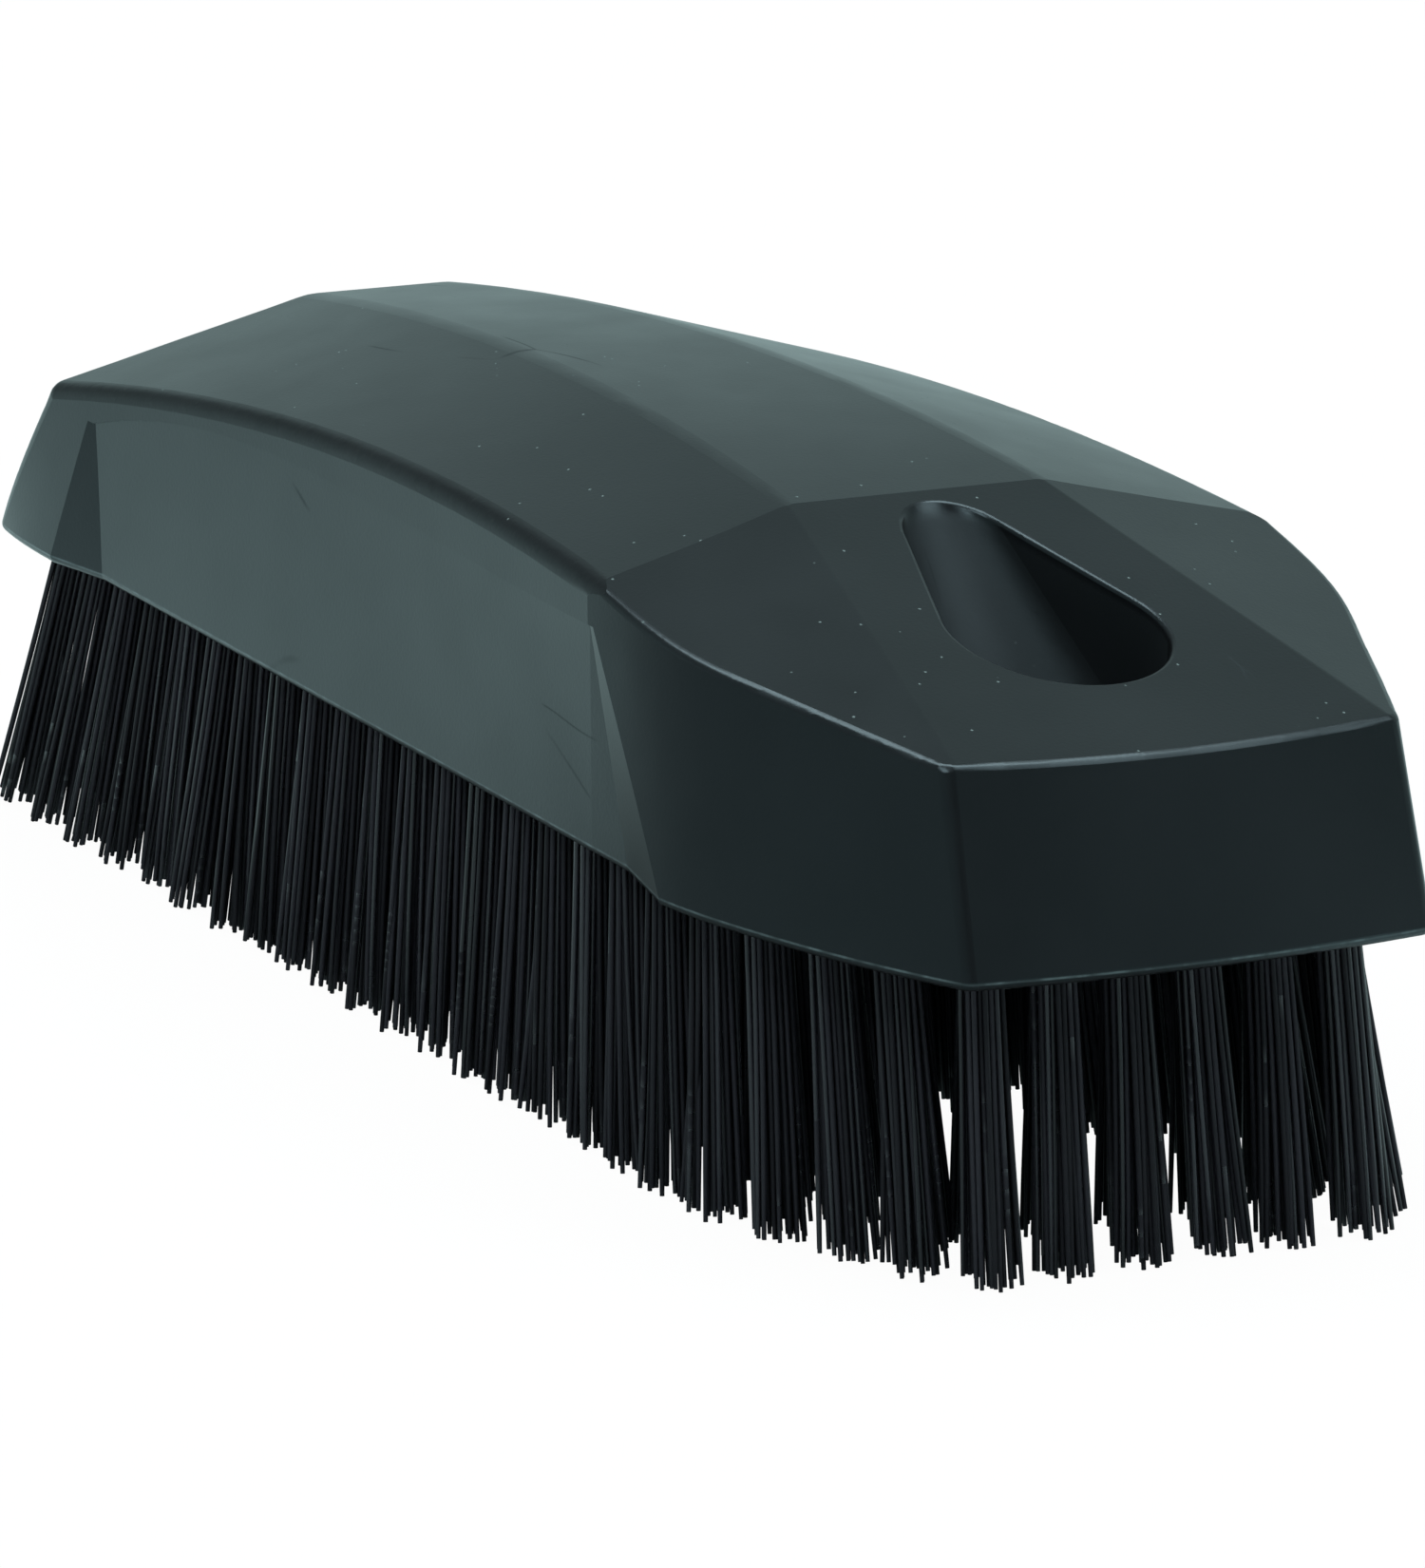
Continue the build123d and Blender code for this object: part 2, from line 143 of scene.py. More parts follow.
def read_tuft(rng, points):
    """A packed tuft's two end faces, with a twist and a sway of its own."""
    low = min(p.z for p in points)
    high = max(p.z for p in points)
    tip = face_middle([p for p in points if p.z < low + TIP_FACE_DEPTH])
    root = face_middle([p for p in points if p.z > high - ROOT_FACE_DEPTH and p.z > WINDOW_TOP])
    twist = rng.uniform(-TUFT_TWIST, TUFT_TWIST)
    sway = Vector((rng.gauss(0, TUFT_SWAY), rng.gauss(0, TUFT_SWAY), 0)) * MM
    return Tuft(*tip, *root, twist, sway)


def share_up(tuft, z):
    """How far up a tuft a height is, from 0 at its tip to 1 at its root."""
    return (z - tuft.tip.z) / (tuft.root.z - tuft.tip.z)


def leg_places(radius):
    """Where filaments stand on one side of the staple."""
    places = []
    rows = int(radius / FILAMENT_PITCH) + 2
    for i in range(-rows, rows + 1):
        for j in range(0, rows + 1):
            x = STAPLE_SIDE_GAP + j * FILAMENT_PITCH * STRAW_NESTING
            y = (i + 0.5 * (j % 2)) * FILAMENT_PITCH
            if math.hypot(x, y) < radius - FILAMENT_RADIUS * WALL_SQUEEZE:
                places.append((x, y))
    return places


def leg(rng, tuft, x, y):
    """Points of one leg of a filament, from its tip up into the hole, where x and y are its place."""
    spread = rng.gauss(LEG_SPREAD, LEG_SPREAD_SCATTER)
    jog = Vector((rng.gauss(0, LEG_JOG), rng.gauss(0, LEG_JOG), 0)) * MM
    if rng.random() < STRAY_SHARE:
        jog = jog * rng.uniform(*STRAY_TIMES)
        if tuft.tip.x < STRAY_FORWARD:
            jog.x = abs(jog.x)
    worn = TIP_LIFT + abs(rng.gauss(0, TIP_WEAR))
    points = []
    for share in LEG_SHARES:
        z = tuft.tip.z + (BLOCK_UNDERSIDE - tuft.tip.z) * share + worn * (1 - share)
        up = share_up(tuft, z)
        centre = tuft.tip.lerp(tuft.root, up)
        out = (1 - share) ** FADE_POWER
        radius = tuft.root_radius + (tuft.tip_radius - tuft.root_radius) * (1 - up)
        scale = radius / tuft.root_radius * (1 + (spread - 1) * out)
        turned = Matrix.Rotation(tuft.twist * out, 3, "Z") @ Vector((x * scale, y * scale, 0))
        place = Vector((centre.x, centre.y, z)) + turned + jog * out + tuft.sway * out
        place.x = max(place.x, REARMOST)
        place.y = max(-SIDEMOST, min(place.y, SIDEMOST))
        points.append(place)
    for above_mouth in LEG_IN_HOLE:
        z = BLOCK_UNDERSIDE + above_mouth
        centre = tuft.tip.lerp(tuft.root, share_up(tuft, z))
        points.append(Vector((centre.x + x * LEG_DRAW_X, centre.y + y * LEG_DRAW_Y, z)))
    return points


def folded_filament(rng, tuft, x, y):
    """Points of a filament that runs up one side of the staple, over it and down the other side."""
    first = leg(rng, tuft, -x, y)
    second = leg(rng, tuft, x, y)
    centre = tuft.tip.lerp(tuft.root, share_up(tuft, BLOCK_UNDERSIDE + CROWN_CENTRE))
    crown_z = BLOCK_UNDERSIDE + CROWN_HEIGHT + x * CROWN_RISE
    crown = Vector((centre.x, centre.y + y * CROWN_DRAW_Y, crown_z))
    return first + [crown] + second[::-1]


def filament_mesh(name, paths):
    """Round filaments along their paths."""
    line = bpy.data.curves.new(name, "CURVE")
    line.dimensions = "3D"
    line.bevel_depth = FILAMENT_RADIUS
    line.bevel_resolution = 1
    line.use_fill_caps = True
    for path in paths:
        spline = line.splines.new("POLY")
        spline.points.add(len(path) - 1)
        for point, place in zip(spline.points, path):
            point.co = (*place, 1)
        for tip in (spline.points[0], spline.points[-1]):
            tip.radius = TIP_THINNING
    holder = bpy.data.objects.new(name, line)
    bpy.context.collection.objects.link(holder)
    bpy.context.view_layer.update()
    mesh = bpy.data.meshes.new_from_object(holder.evaluated_get(bpy.context.evaluated_depsgraph_get()))
    bpy.data.objects.remove(holder)
    bpy.data.curves.remove(line)
    mesh.shade_smooth()
    return mesh


def bristle_row(node, material):
    """A row of tufts as folded filaments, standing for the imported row."""
    rng = random.Random(node.name)
    paths = []
    for points in tuft_islands(node):
        tuft = read_tuft(rng, points)
        for x, y in leg_places(tuft.root_radius + HOLE_CLEARANCE):
            paths.append(folded_filament(rng, tuft, x, y))
    mesh = filament_mesh(node.name + "_line", paths)
    mesh.materials.clear()
    mesh.materials.append(material)
    # one tone for all the points of a filament
    points_each = len(mesh.vertices) // len(paths)
    tones = []
    for _ in paths:
        tones += [rng.random()] * points_each
    mesh.attributes.new("filament_tone", "FLOAT", "POINT").data.foreach_set("value", tones)
    row = bpy.data.objects.new("tufts" + node.name.removeprefix("bristle_row"), mesh)
    bpy.context.collection.objects.link(row)
    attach(row, "root")
    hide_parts(node.name)


# ---- Materials --------------------------------------------------------------------------------------

# a mix of two colours takes its share at input 0 and the colours at 6 and 7, and gives output 2
RGBA = {"data_type": "RGBA"}
MULTIPLY = {"operation": "MULTIPLY"}
MULTIPLY_ADD = {"operation": "MULTIPLY_ADD"}
MAXIMUM = {"operation": "MAXIMUM"}
LENGTH = {"operation": "LENGTH"}
DOT_PRODUCT = {"operation": "DOT_PRODUCT"}

# block: unevenness of the cooled melt, rubbed patches and the tool's spark-eroded grain, as widths
MELT_DRIFT = 18 * MM
RUBBED_PATCH = 6 * MM
TOOL_GRAIN = 0.25 * MM
GRAIN_DEPTH = 0.04 * MM
# hair scratches: their spacing, way and stretch, and how far they bend over what length
SCRATCH_SPACING = 11 * MM
SCRATCH_TURN = (0.0, 0.5, 0.7)
SCRATCH_STRETCH = (0.16, 1.0, 1.0)
SCRATCH_BEND = 4 * MM
SCRATCH_BEND_LENGTH = 20 * MM
# half widths of a scratch's core and of its edge as shares of the spacing, and how strongly it shows
SCRATCH_CORE = 0.002
SCRATCH_EDGE = 0.008
SCRATCH_STRENGTH = 0.35
# they show in patches of this width, where slow noise rises above a level
SCRATCH_PATCH = 13 * MM
SCRATCH_PATCH_LEVEL = 0.63
SCRATCH_PATCH_FADE = 0.05
# dust: the spacing of its cells, a speck's radius as a share of that, and the share of cells with a speck
DUST_SPACING = 1.6 * MM
DUST_RADIUS = 0.07
DUST_SHARE = 0.7
# painted highlight: a pale line where the foot's rounding starts, with the half widths of its core and of
# its edge, and the length over which it is broken up
FOOT_HIGHLIGHT_HEIGHT = 19.5 * MM
FOOT_HIGHLIGHT_CORE = 0.03 * MM
FOOT_HIGHLIGHT_EDGE = 0.1 * MM
FOOT_HIGHLIGHT_STRENGTH = 0.5
FOOT_HIGHLIGHT_BREAKS = 1.2 * MM
# the nose roof's plane holds the points whose X and Z, weighed by the tilt, come to the reach
ROOF_TILT = (0.2396, 0.0, 1.0)
ROOF_REACH = 44.48 * MM
# the core's marks start this far below the roof, and are full at this depth
CORE_START = 0.3 * MM
CORE_FULL = 0.8 * MM
# an oval in plan round the hanging hole
HOLE_MIDDLE_X = 34.5 * MM
HOLE_HALF_LENGTH = 13.5 * MM
HOLE_HALF_WIDTH = 8 * MM
# how much rougher scratches, dust and the core's marks are
MARRED_ROUGHER = 0.4
CORE_ROUGHER = 0.3

# filaments: the tones fall into this many runs, and the top of each run is glossy; and how long a rubbed,
# duller stretch is, and how much gloss it takes
GLOSS_RUNS = 7.3
RUBBED_STRETCH = 4 * MM
RUBBED_LOSS = -0.4
# staples: the width of a rolling line, and how much slower it changes along the strip
ROLLING_LINE = 0.1 * MM
ROLLED_ALONG = (1, 0.05, 1)


def linear(hex_colour):
    """sRGB hex as linear red, green, blue and 1."""
    parts = [int(hex_colour[i:i + 2], 16) / 255 for i in (1, 3, 5)]
    return [c / 12.92 if c <= 0.04045 else ((c + 0.055) / 1.055) ** 2.4 for c in parts] + [1.0]


def add_node(tree, kind, settings=None, **links):
    """Adds a node with its settings, which are properties, and its links.

    A link names an input, or gives i and its number. It holds a value, another node's output, or another
    node, which stands for that node's first output.
    """
    node = tree.nodes.new(kind)
    for key, value in (settings or {}).items():
        setattr(node, key, value)
    for key, value in links.items():
        socket = node.inputs[int(key[1:]) if key[1:].isdigit() else key.replace("_", " ")]
        if isinstance(value, bpy.types.Node):
            value = value.outputs[0]
        if isinstance(value, bpy.types.NodeSocket):
            tree.links.new(value, socket)
        else:
            socket.default_value = value
    return node


def new_material(name):
    """A material with an empty tree, and that tree."""
    material = bpy.data.materials.new(name)
    material.use_nodes = True
    material.node_tree.nodes.clear()
    return material, material.node_tree


def hair_scratches(tree, place):
    """Mask of hair-fine scratches that run one way, in patches here and there."""
    drawn = add_node(tree, "ShaderNodeMapping", Vector=place, Rotation=SCRATCH_TURN, Scale=SCRATCH_STRETCH)
    bend = add_node(tree, "ShaderNodeTexNoise", Vector=place, Scale=1 / SCRATCH_BEND_LENGTH, Detail=1.0)
    bend = add_node(
        tree, "ShaderNodeVectorMath", {"operation": "SCALE"}, i0=bend.outputs["Color"], Scale=SCRATCH_BEND
    )
    bent = add_node(tree, "ShaderNodeVectorMath", {"operation": "ADD"}, i0=drawn, i1=bend)
    cells = add_node(
        tree, "ShaderNodeTexVoronoi", {"feature": "DISTANCE_TO_EDGE"}, Vector=bent, Scale=1 / SCRATCH_SPACING
    )
    fine = add_node(
        tree, "ShaderNodeMapRange", Value=cells.outputs["Distance"],
        From_Min=SCRATCH_CORE, From_Max=SCRATCH_EDGE, To_Min=SCRATCH_STRENGTH, To_Max=0.0
    )
    patch = add_node(tree, "ShaderNodeTexNoise", Vector=place, Scale=1 / SCRATCH_PATCH, Detail=2.0)
    patch = add_node(
        tree, "ShaderNodeMapRange", Value=patch,
        From_Min=SCRATCH_PATCH_LEVEL, From_Max=SCRATCH_PATCH_LEVEL + SCRATCH_PATCH_FADE
    )
    return add_node(tree, "ShaderNodeMath", MULTIPLY, i0=fine, i1=patch)


def settled_dust(tree, place):
    """Mask of round specks of dust, lying on what faces up."""
    cells = add_node(tree, "ShaderNodeTexVoronoi", Vector=place, Scale=1 / DUST_SPACING).outputs
    speck = add_node(
        tree, "ShaderNodeMapRange", Value=cells["Distance"],
        From_Min=DUST_RADIUS * 0.5, From_Max=DUST_RADIUS, To_Min=1.0, To_Max=0.0
    )
    chosen = add_node(
        tree, "ShaderNodeMath", {"operation": "LESS_THAN"}, i0=cells["Color"], i1=DUST_SHARE
    )
    dust = add_node(tree, "ShaderNodeMath", MULTIPLY, i0=speck, i1=chosen)
    facing = add_node(tree, "ShaderNodeNewGeometry").outputs["True Normal"]
    facing = add_node(tree, "ShaderNodeSeparateXYZ", Vector=facing).outputs["Z"]
    level = add_node(tree, "ShaderNodeMapRange", Value=facing, From_Min=0.5, From_Max=0.9)
    return add_node(tree, "ShaderNodeMath", MULTIPLY, i0=dust, i1=level)


def painted_foot_highlight(tree, place):
    """Mask of a painted highlight: a pale, uneven line round the foot where its rounding starts."""
    height = add_node(tree, "ShaderNodeSeparateXYZ", Vector=place).outputs["Z"]
    off = add_node(tree, "ShaderNodeMath", {"operation": "SUBTRACT"}, i0=height, i1=FOOT_HIGHLIGHT_HEIGHT)
    off = add_node(tree, "ShaderNodeMath", {"operation": "ABSOLUTE"}, i0=off)
    line = add_node(
        tree, "ShaderNodeMapRange", Value=off,
        From_Min=FOOT_HIGHLIGHT_CORE, From_Max=FOOT_HIGHLIGHT_EDGE, To_Min=FOOT_HIGHLIGHT_STRENGTH, To_Max=0.0
    )
    broken = add_node(tree, "ShaderNodeTexNoise", Vector=place, Scale=1 / FOOT_HIGHLIGHT_BREAKS, Detail=3.0)
    broken = add_node(
        tree, "ShaderNodeMapRange", Value=broken, From_Min=0.42, From_Max=0.68, To_Min=0.3, To_Max=1.0
    )
    return add_node(tree, "ShaderNodeMath", MULTIPLY, i0=line, i1=broken)


def core_marks(tree, place):
    """Mask of the hanging hole's walls: below the nose roof and within an oval in plan."""
    height = add_node(tree, "ShaderNodeVectorMath", DOT_PRODUCT, i0=place, i1=ROOF_TILT).outputs["Value"]
    below = add_node(
        tree, "ShaderNodeMapRange", Value=height,
        From_Min=ROOF_REACH - CORE_FULL, From_Max=ROOF_REACH - CORE_START, To_Min=1.0, To_Max=0.0
    )
    oval = add_node(
        tree, "ShaderNodeMapping", Vector=place, Location=(-HOLE_MIDDLE_X / HOLE_HALF_LENGTH, 0, 0),
        Scale=(1 / HOLE_HALF_LENGTH, 1 / HOLE_HALF_WIDTH, 0)
    )
    across = add_node(tree, "ShaderNodeVectorMath", LENGTH, i0=oval).outputs["Value"]
    inside = add_node(tree, "ShaderNodeMath", {"operation": "LESS_THAN"}, i0=across, i1=1.0)
    return add_node(tree, "ShaderNodeMath", MULTIPLY, i0=below, i1=inside)


def satin_polypropylene():
    """Polypropylene, injection moulded in a fine spark-eroded tool: a soft broken sheen on near black.

    Handling leaves a few hair scratches and specks of dust, and the core that formed the hanging hole was
    left rougher than the rest of the tool.
    """
    material, tree = new_material("polypropylene_moulded_satin_black")
    place = add_node(tree, "ShaderNodeTexCoord").outputs["Object"]
    scratches = hair_scratches(tree, place)
    dust = settled_dust(tree, place)
    foot_highlight = painted_foot_highlight(tree, place)
    core = core_marks(tree, place)
    drift = add_node(tree, "ShaderNodeTexNoise", Vector=place, Scale=1 / MELT_DRIFT, Detail=3.0)
    drift = add_node(tree, "ShaderNodeMapRange", Value=drift, From_Min=0.35, From_Max=0.7)
    colour = add_node(
        tree, "ShaderNodeMix", RGBA, i0=drift, i6=linear("#110f11"), i7=linear("#181719")
    ).outputs[2]
    # the pale line round the foot is a painted highlight; the scratches and dust are the block's own marks
    for mask, tint in ((scratches, "#050606"), (dust, "#6c7876"), (foot_highlight, "#6f7f81")):
        colour = add_node(tree, "ShaderNodeMix", RGBA, i0=mask, i6=colour, i7=linear(tint)).outputs[2]
    rub = add_node(tree, "ShaderNodeTexNoise", Vector=place, Scale=1 / RUBBED_PATCH, Detail=5.0)
    rough = add_node(tree, "ShaderNodeMapRange", Value=rub, To_Min=0.25, To_Max=0.35)
    marred = add_node(tree, "ShaderNodeMath", MAXIMUM, i0=scratches, i1=dust)
    rough = add_node(tree, "ShaderNodeMath", MULTIPLY_ADD, i0=marred, i1=MARRED_ROUGHER, i2=rough)
    rough = add_node(tree, "ShaderNodeMath", MULTIPLY_ADD, i0=core, i1=CORE_ROUGHER, i2=rough)
    grain = add_node(tree, "ShaderNodeTexNoise", Vector=place, Scale=1 / TOOL_GRAIN, Detail=2.0)
    bump = add_node(tree, "ShaderNodeBump", Height=grain, Strength=0.16, Distance=GRAIN_DEPTH)
    shader = add_node(
        tree, "ShaderNodeBsdfPrincipled", Base_Color=colour, Roughness=rough, IOR=1.49, Normal=bump,
        Specular_Tint=linear("#dcf5ff")
    )
    add_node(tree, "ShaderNodeOutputMaterial", Surface=shader)
    return material


def drawn_polyester():
    """Polyester filament, drawn: smooth and glossy along its length, each a slightly different black.

    About one in three comes glossy from the die and the rest duller, and rubbing dulls them in stretches.
    """
    material, tree = new_material("polyester_drawn_filament_black")
    tone = add_node(tree, "ShaderNodeAttribute", {"attribute_name": "filament_tone"}).outputs["Fac"]
    place = add_node(tree, "ShaderNodeTexCoord").outputs["Object"]
    shade = add_node(tree, "ShaderNodeMapRange", Value=tone, From_Min=0.2, From_Max=0.95)
    colour = add_node(
        tree, "ShaderNodeMix", RGBA, i0=shade, i6=linear("#1b1a20"), i7=linear("#2a2930")
    ).outputs[2]
    gloss = add_node(tree, "ShaderNodeMath", MULTIPLY, i0=tone, i1=GLOSS_RUNS)
    gloss = add_node(tree, "ShaderNodeMath", {"operation": "FRACT"}, i0=gloss)
    sheen = add_node(
        tree, "ShaderNodeMapRange", Value=gloss, From_Min=0.6, From_Max=0.9, To_Min=1.33, To_Max=1.66
    )
    rub = add_node(tree, "ShaderNodeTexNoise", Vector=place, Scale=1 / RUBBED_STRETCH, Detail=2.0)
    smooth = add_node(tree, "ShaderNodeMath", MULTIPLY_ADD, i0=rub, i1=RUBBED_LOSS, i2=gloss)
    rough = add_node(
        tree, "ShaderNodeMapRange", Value=smooth, From_Min=0.2, From_Max=0.7, To_Min=0.6, To_Max=0.27
    )
    shader = add_node(tree, "ShaderNodeBsdfPrincipled", Base_Color=colour, Roughness=rough, IOR=sheen)
    add_node(tree, "ShaderNodeOutputMaterial", Surface=shader)
    return material


def rolled_stainless():
    """Stainless steel strip, rolled and sheared: fine lines along the strip."""
    material, tree = new_material("stainless_rolled_strip")
    place = add_node(tree, "ShaderNodeTexCoord").outputs["Object"]
    along = add_node(tree, "ShaderNodeMapping", Vector=place, Scale=ROLLED_ALONG)
    lines = add_node(tree, "ShaderNodeTexNoise", Vector=along, Scale=1 / ROLLING_LINE, Detail=1.0)
    shade = add_node(tree, "ShaderNodeMapRange", Value=lines, From_Min=0.3, From_Max=0.7)
    colour = add_node(
        tree, "ShaderNodeMix", RGBA, i0=shade, i6=linear("#b4b3ae"), i7=linear("#cfcdc8")
    ).outputs[2]
    rough = add_node(tree, "ShaderNodeMapRange", Value=lines, To_Min=0.25, To_Max=0.4)
    shader = add_node(
        tree, "ShaderNodeBsdfPrincipled", Base_Color=colour, Roughness=rough, Metallic=1.0
    )
    add_node(tree, "ShaderNodeOutputMaterial", Surface=shader)
    return material


# ---- Object -----------------------------------------------------------------------------------------

polypropylene = satin_polypropylene()
polyester = drawn_polyester()
stainless = rolled_stainless()

for name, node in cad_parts.items():
    if name.startswith("bristle_row"):
        bristle_row(node, polyester)
    else:
        finish = stainless if name.startswith("staple_row") else polypropylene
        node.data.materials.clear()
        node.data.materials.append(finish)

# ---- Floor, surroundings, light and camera ----------------------------------------------------------

COOL_LIGHT = linear("#d5f6f6")
PURE_WHITE = (1, 1, 1, 1)
LAMP_COLOUR = (0.86, 0.98, 1.0)
FLOOR_HALF = 3.0

# the paper's painted pool of light, which only reflections see, starts where a point's X and Y, weighed by
# this, come to a set length
PAINTED_POOL_EDGE = (-0.68, 1.0, 0.0)
# the brush's painted shadow on the paper, which only reflections see, is an oval that is narrower than it is
# long by the second of these
PAINTED_SHADOW_OVAL = (1.0, 1.9, 1.0)
# where the paper glows, the glow has this share and matt white the rest
GLOW_SHARE = 0.97

# places of the brush's middle and the lamps, and the turn of the strip lamp in degrees
BRUSH_MIDDLE = (0, 0, 0.02)
WINDOW_RIGHT = (0.45, -1.0, 1.5)
WINDOW_FAR = (0.75, 0.85, 1.5)
STRIP_OVER = (-0.32, 0.03, 1.5)
STRIP_TURN = 56

# angles in degrees, lens and sensor in millimetres
CAMERA_PLACE = (0.58713, -0.33051, 0.20541)
CAMERA_AZIMUTH = 60.66
CAMERA_ELEVATION = 15.83
CAMERA_ROLL = 2.22
CAMERA_FOCAL_LENGTH = 280.417
CAMERA_SENSOR = 36.0
CAMERA_SIGHT = 20.0


def painted_paper_glow(tree, place):
    """Strength of the paper's glow in reflections: painted light and painted shade, not cast by the lamps.
    """
    # a painted pool of light towards the tail, as far as a slanting edge, and dimmer far out
    reach = add_node(tree, "ShaderNodeVectorMath", DOT_PRODUCT, i0=place, i1=PAINTED_POOL_EDGE).outputs["Value"]
    painted_pool = add_node(
        tree, "ShaderNodeMapRange", Value=reach,
        From_Min=-40 * MM, From_Max=-23 * MM, To_Min=0.36, To_Max=1.05
    )
    away = add_node(tree, "ShaderNodeVectorMath", LENGTH, i0=place).outputs["Value"]
    fading = add_node(
        tree, "ShaderNodeMapRange", Value=away,
        From_Min=200 * MM, From_Max=600 * MM, To_Min=1.0, To_Max=0.5
    )
    painted_pool = add_node(tree, "ShaderNodeMath", MULTIPLY, i0=painted_pool, i1=fading)
    # a painted shadow of the brush on what lies close about it, and a faint painted halo of light round that
    # shadow
    oval = add_node(tree, "ShaderNodeMapping", Vector=place, Scale=PAINTED_SHADOW_OVAL)
    across = add_node(tree, "ShaderNodeVectorMath", LENGTH, i0=oval).outputs["Value"]
    shade = add_node(
        tree, "ShaderNodeMapRange", Value=across,
        From_Min=66 * MM, From_Max=86 * MM, To_Min=0.2, To_Max=1.0
    )
    painted_ring = add_node(
        tree, "ShaderNodeMapRange", Value=across,
        From_Min=90 * MM, From_Max=120 * MM, To_Min=0.3, To_Max=0.0
    )
    painted_pool = add_node(tree, "ShaderNodeMath", MULTIPLY, i0=painted_pool, i1=shade)
    painted_ring = add_node(tree, "ShaderNodeMath", MULTIPLY, i0=painted_ring, i1=shade)
    # painted light: the paper brightens again behind the brush
    side = add_node(tree, "ShaderNodeSeparateXYZ", Vector=place).outputs["Y"]
    behind = add_node(
        tree, "ShaderNodeMapRange", Value=side,
        From_Min=50 * MM, From_Max=400 * MM, To_Min=0.15, To_Max=1.0
    )
    seen = add_node(tree, "ShaderNodeMath", MAXIMUM, i0=painted_pool, i1=painted_ring)
    return add_node(tree, "ShaderNodeMath", MAXIMUM, i0=seen, i1=behind)


def studio_paper():
    """White paper: it glows evenly white to the camera, glows in reflections with painted light and painted
    shade, and is matt to all other light.
    """
    material, tree = new_material("studio_paper_white")
    place = add_node(tree, "ShaderNodeTexCoord").outputs["Object"]
    ray = add_node(tree, "ShaderNodeLightPath").outputs
    camera = ray["Is Camera Ray"]
    mirror = ray["Is Glossy Ray"]
    # reflections see a glow with painted light and painted shade, tinted cool
    painted_reflection = add_node(tree, "ShaderNodeMath", MULTIPLY, i0=painted_paper_glow(tree, place), i1=mirror)
    strength = add_node(tree, "ShaderNodeMath", MAXIMUM, i0=painted_reflection, i1=camera)
    tint = add_node(tree, "ShaderNodeMix", RGBA, i0=camera, i6=COOL_LIGHT, i7=PURE_WHITE).outputs[2]
    glow = add_node(tree, "ShaderNodeEmission", Color=tint, Strength=strength)
    matt = add_node(tree, "ShaderNodeBsdfDiffuse", Color=linear("#f4f4f4"))
    share = add_node(tree, "ShaderNodeMath", MAXIMUM, i0=mirror, i1=camera)
    share = add_node(tree, "ShaderNodeMath", MULTIPLY, i0=share, i1=GLOW_SHARE)
    sheet = add_node(tree, "ShaderNodeMixShader", i0=share, i1=matt, i2=glow)
    add_node(tree, "ShaderNodeOutputMaterial", Surface=sheet)
    return material


def studio_floor():
    """A square sheet of paper under the brush."""
    sheet = bmesh.new()
    bmesh.ops.create_grid(sheet, x_segments=1, y_segments=1, size=FLOOR_HALF)
    mesh = bpy.data.meshes.new("studio_floor")
    sheet.to_mesh(mesh)
    sheet.free()
    mesh.materials.append(studio_paper())
    floor = bpy.data.objects.new("studio_floor", mesh)
    bpy.context.collection.objects.link(floor)


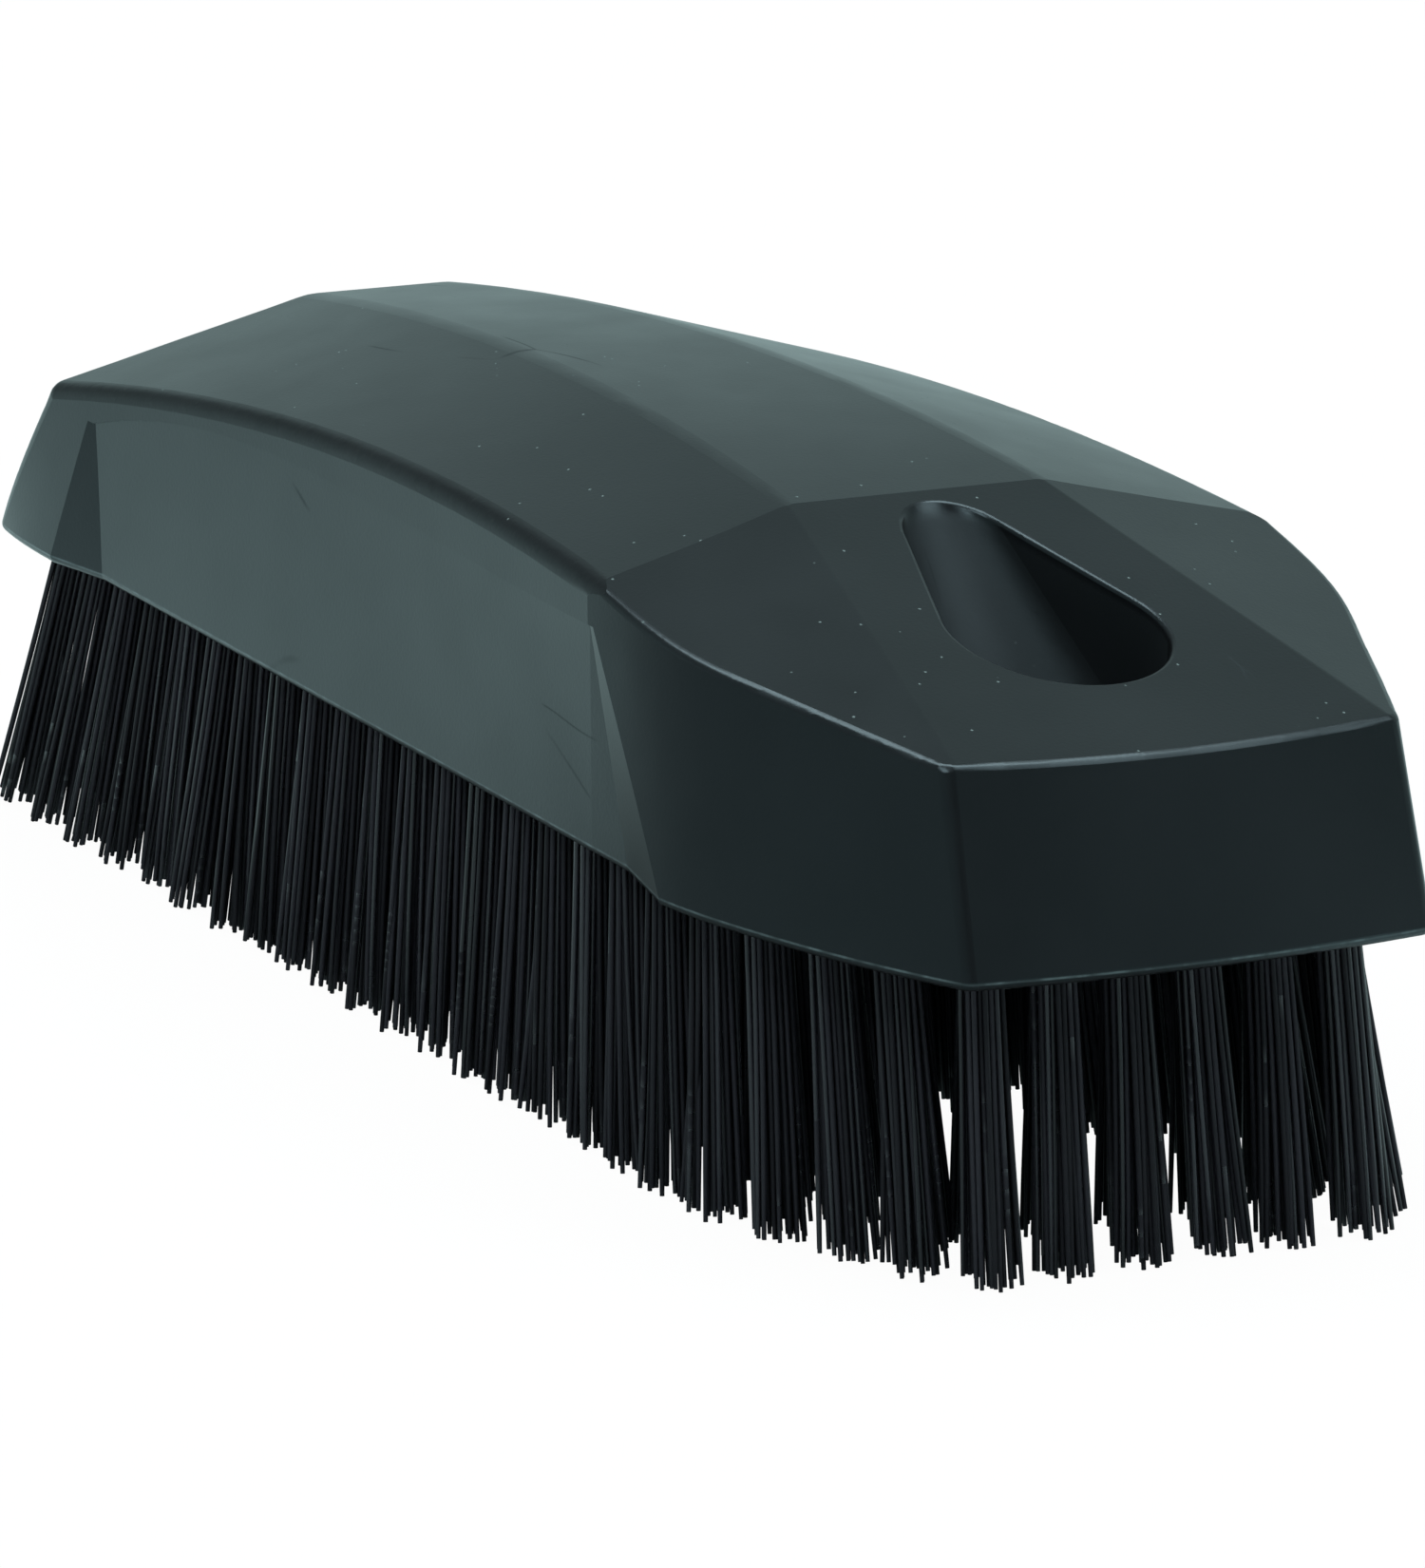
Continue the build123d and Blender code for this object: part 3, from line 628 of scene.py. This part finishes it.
def studio_air():
    """Surroundings: white to the camera, and to all else dim, with a brighter far side and tail end."""
    world = bpy.data.worlds.new("studio_air")
    bpy.context.scene.world = world
    world.use_nodes = True
    tree = world.node_tree
    tree.nodes.clear()
    facing = add_node(tree, "ShaderNodeTexCoord").outputs["Generated"]
    facing = add_node(tree, "ShaderNodeSeparateXYZ", Vector=facing).outputs
    # brightest a little above the floor, and falling in two slopes to the zenith
    low = add_node(
        tree, "ShaderNodeMapRange", Value=facing["Z"],
        From_Min=0.17, From_Max=0.36, To_Min=0.69, To_Max=0.46
    )
    high = add_node(
        tree, "ShaderNodeMapRange", Value=facing["Z"],
        From_Min=0.36, From_Max=0.9, To_Min=0.0, To_Max=-0.24
    )
    glow = add_node(tree, "ShaderNodeMath", {"operation": "ADD"}, i0=low, i1=high)
    # dimmer towards the nose
    ahead = add_node(
        tree, "ShaderNodeMapRange", Value=facing["X"],
        From_Min=-0.5, From_Max=0.5, To_Min=1.0, To_Max=0.6
    )
    glow = add_node(tree, "ShaderNodeMath", MULTIPLY, i0=glow, i1=ahead)
    # bright on the far side, dim in the middle and in between on the near side
    near_side = add_node(
        tree, "ShaderNodeMapRange", Value=facing["Y"],
        From_Min=-0.5, From_Max=-0.15, To_Min=0.75, To_Max=0.34
    )
    side = add_node(
        tree, "ShaderNodeMapRange", Value=facing["Y"],
        From_Min=-0.1, From_Max=0.3, To_Min=near_side, To_Max=1.0
    )
    glow = add_node(tree, "ShaderNodeMath", MULTIPLY, i0=glow, i1=side)
    # a band of light just over the floor
    skirt = add_node(
        tree, "ShaderNodeMapRange", Value=facing["Z"],
        From_Min=0.0, From_Max=0.16, To_Min=0.45, To_Max=0.0
    )
    glow = add_node(tree, "ShaderNodeMath", MAXIMUM, i0=glow, i1=skirt)
    camera = add_node(tree, "ShaderNodeLightPath").outputs["Is Camera Ray"]
    lit = add_node(tree, "ShaderNodeBackground", Color=COOL_LIGHT, Strength=glow)
    white = add_node(tree, "ShaderNodeBackground", Color=PURE_WHITE, Strength=1.0)
    air = add_node(tree, "ShaderNodeMixShader", i0=camera, i1=lit, i2=white)
    add_node(tree, "ShaderNodeOutputWorld", Surface=air)


def facing_brush(place):
    """The turn that makes a lamp at a place face the brush."""
    return (Vector(BRUSH_MIDDLE) - Vector(place)).to_track_quat("-Z", "Y").to_euler()


def soft_box(name, place, turn, size, power):
    """A large soft lamp."""
    lamp = bpy.data.lights.new(name, "AREA")
    lamp.shape = "RECTANGLE"
    lamp.size, lamp.size_y = size
    lamp.energy = power
    lamp.color = LAMP_COLOUR
    light = bpy.data.objects.new(name, lamp)
    bpy.context.collection.objects.link(light)
    light.location = place
    light.rotation_euler = turn


def studio_camera():
    """Three-quarter view on the nose and one long side, from a little above."""
    azimuth = math.radians(CAMERA_AZIMUTH)
    elevation = math.radians(CAMERA_ELEVATION)
    roll = math.radians(CAMERA_ROLL)
    back = Vector((
        math.sin(azimuth) * math.cos(elevation),
        -math.cos(azimuth) * math.cos(elevation),
        math.sin(elevation),
    ))
    level = Vector((0, 0, 1)).cross(back).normalized()
    upright = back.cross(level)
    right = level * math.cos(roll) + upright * math.sin(roll)
    up = upright * math.cos(roll) - level * math.sin(roll)
    lens = bpy.data.cameras.new("studio_camera")
    lens.sensor_fit = "HORIZONTAL"
    lens.sensor_width = CAMERA_SENSOR
    lens.lens = CAMERA_FOCAL_LENGTH
    lens.clip_end = CAMERA_SIGHT
    camera = bpy.data.objects.new("studio_camera", lens)
    bpy.context.collection.objects.link(camera)
    turn = Matrix((right, up, back)).transposed()
    camera.matrix_world = Matrix.Translation(CAMERA_PLACE) @ turn.to_4x4()
    bpy.context.scene.camera = camera


studio_floor()
studio_air()
soft_box("window_right", WINDOW_RIGHT, facing_brush(WINDOW_RIGHT), size=(0.9, 0.7), power=10.0)
soft_box("window_far", WINDOW_FAR, facing_brush(WINDOW_FAR), size=(1.0, 1.0), power=8.0)
soft_box("strip_over", STRIP_OVER, (0, 0, math.radians(STRIP_TURN)), size=(1.9, 0.55), power=24.0)
studio_camera()
bpy.context.scene.view_settings.view_transform = "Standard"
